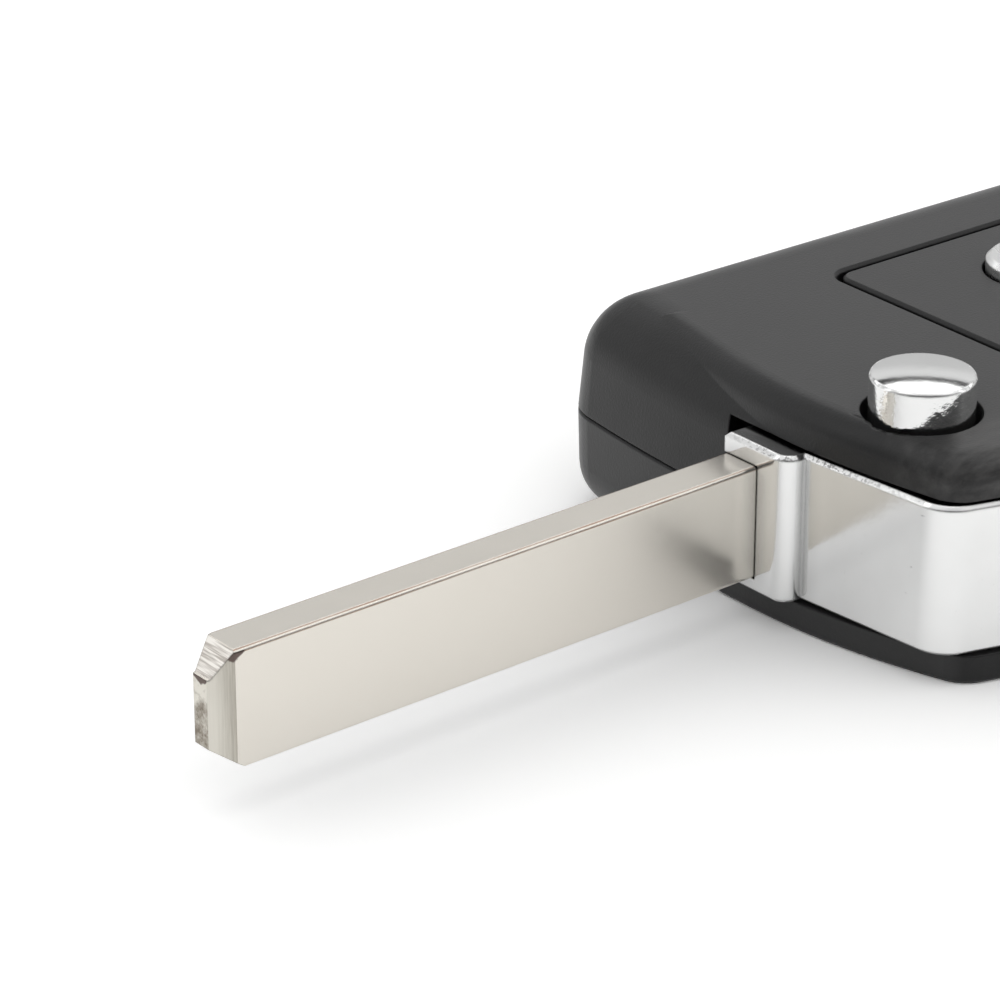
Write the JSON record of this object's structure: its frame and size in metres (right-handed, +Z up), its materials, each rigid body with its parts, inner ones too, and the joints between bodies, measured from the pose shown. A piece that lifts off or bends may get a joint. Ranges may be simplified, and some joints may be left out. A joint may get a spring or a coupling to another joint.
{
  "type": "key fob shell",
  "caption": "Folding car key case: black plastic shell, plated hub with release button, and an uncut key blade that folds into the side.",
  "frame": {"origin": "foot of the blade's hinge axis on the flat back of the case", "axes": "+X from the blade's tip towards the rear of the case, +Y towards the case's left side, +Z up through the buttons"},
  "size_m": [0.1166, 0.0389, 0.0176],
  "materials": {
    "shell_plastic": "fine-grained satin",
    "panel_plastic": "fine-grained satin",
    "keypad_rubber": "matt",
    "button_plating": "satin silver",
    "blade_metal": "polished, warm nickel",
    "hub_plating": "bright, lightly pitted",
    "steel": "plain"
  },
  "bodies": {
    "case": {"upper_shell": "shell_plastic", "lower_shell": "shell_plastic", "button_panel": "panel_plastic", "keypad": "keypad_rubber", "spring_anchor": "steel", "case_screw": "steel"},
    "flip_head": {"blade_hub": "hub_plating", "blade": "blade_metal", "blade_pin": "steel", "flip_spring": "steel"},
    "release": {"release_button": "hub_plating"},
    "lock": {"lock_button": "button_plating"},
    "unlock": {"unlock_button": "button_plating"}
  },
  "joints": [
    {"name": "blade_flip", "type": "hinge", "parent": "case", "child": "flip_head", "pos_m": [0, 0, 0], "axis": [0, 0, 1], "range_deg": [0, 180], "stiffness_Nm_per_rad": 0.008, "springref_deg": -68.75},
    {"name": "release_press", "type": "slide", "parent": "flip_head", "child": "release", "axis": [0, 0, -1], "range_m": [0, 0.002], "stiffness_N_per_m": 1000, "springref_m": -0.003, "deforming": ["flip_spring"]},
    {"name": "lock_press", "type": "slide", "parent": "case", "child": "lock", "axis": [0, 0, -1], "range_m": [0, 0.0006], "stiffness_N_per_m": 2000, "springref_m": -0.0005, "deforming": ["keypad"]},
    {"name": "unlock_press", "type": "slide", "parent": "case", "child": "unlock", "axis": [0, 0, -1], "range_m": [0, 0.0006], "stiffness_N_per_m": 2000, "springref_m": -0.0005, "deforming": ["keypad"]}
  ]
}
